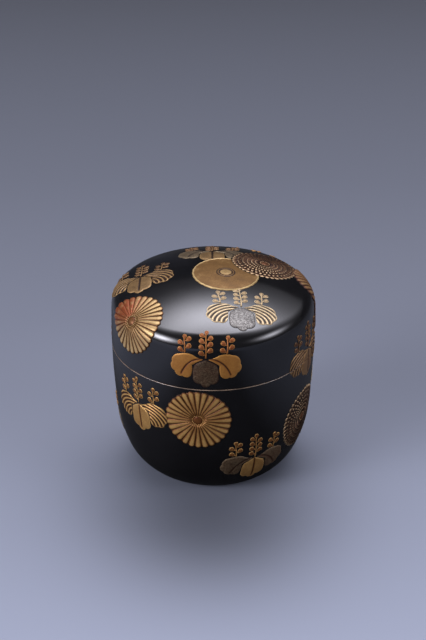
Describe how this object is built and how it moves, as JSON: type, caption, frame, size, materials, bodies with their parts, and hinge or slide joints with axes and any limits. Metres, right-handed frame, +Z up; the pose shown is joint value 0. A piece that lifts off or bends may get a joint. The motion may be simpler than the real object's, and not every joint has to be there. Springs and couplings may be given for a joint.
{
  "type": "tea caddy",
  "caption": "Round lacquered tea caddy with a domed lift-off lid over an inner lip, rounded base, and raised gold and silver chrysanthemum and paulownia ornament.",
  "frame": {"origin": "centre of the foot ring on the table", "axes": "+Z up along the turning axis, -Y towards the viewer of the picture"},
  "size_m": [0.0745, 0.0744, 0.0764],
  "materials": {
    "black_lacquer": "polished black lacquer",
    "inner_lacquer": "plain black lacquer, satin",
    "base_lacquer": "black lacquer, satin",
    "wood_core": "turned and sealed under the lacquer",
    "gold_maki_e": "gold powder on raised lacquer, burnished",
    "silver_maki_e": "silver powder on raised lacquer, darkened"
  },
  "bodies": {
    "body": {"base_lacquer": "base_lacquer", "body_core": "wood_core", "body_front_chrysanthemum": "gold_maki_e", "body_left_paulownia_gold": "gold_maki_e", "body_left_seam_chrysanthemum": "gold_maki_e", "body_lining": "inner_lacquer", "body_low_front_paulownia_gold": "gold_maki_e", "body_low_front_paulownia_silver": "silver_maki_e", "body_low_left_paulownia_gold": "gold_maki_e", "body_low_left_paulownia_silver": "silver_maki_e", "body_outer_lacquer": "black_lacquer", "body_rear_chrysanthemum": "gold_maki_e", "body_rear_left_chrysanthemum": "gold_maki_e", "body_rear_paulownia_gold": "gold_maki_e", "body_rear_paulownia_silver": "silver_maki_e", "body_rear_seam_chrysanthemum": "gold_maki_e", "body_right_chrysanthemum": "gold_maki_e", "body_right_rear_paulownia_gold": "gold_maki_e", "body_right_seam_paulownia_gold": "gold_maki_e"},
    "lid": {"lid_core": "wood_core", "lid_front_paulownia_gold": "gold_maki_e", "lid_front_paulownia_silver": "silver_maki_e", "lid_left_seam_chrysanthemum": "gold_maki_e", "lid_left_shoulder_chrysanthemum": "gold_maki_e", "lid_lining": "inner_lacquer", "lid_outer_lacquer": "black_lacquer", "lid_rear_paulownia_gold": "gold_maki_e", "lid_rear_paulownia_silver": "silver_maki_e", "lid_rear_seam_chrysanthemum": "gold_maki_e", "lid_right_seam_paulownia_gold": "gold_maki_e", "lid_right_shoulder_chrysanthemum": "gold_maki_e", "lid_top_back_paulownia_gold": "gold_maki_e", "lid_top_back_paulownia_silver": "silver_maki_e", "lid_top_disc_chrysanthemum": "gold_maki_e", "lid_top_front_paulownia_gold": "gold_maki_e", "lid_top_front_paulownia_silver": "silver_maki_e", "lid_top_layered_chrysanthemum": "gold_maki_e", "lid_top_left_paulownia_gold": "gold_maki_e"}
  },
  "joints": [
    {"name": "lid_lift", "type": "slide", "parent": "body", "child": "lid", "axis": [0, 0, 1], "range_m": [0, 0.06]}
  ]
}
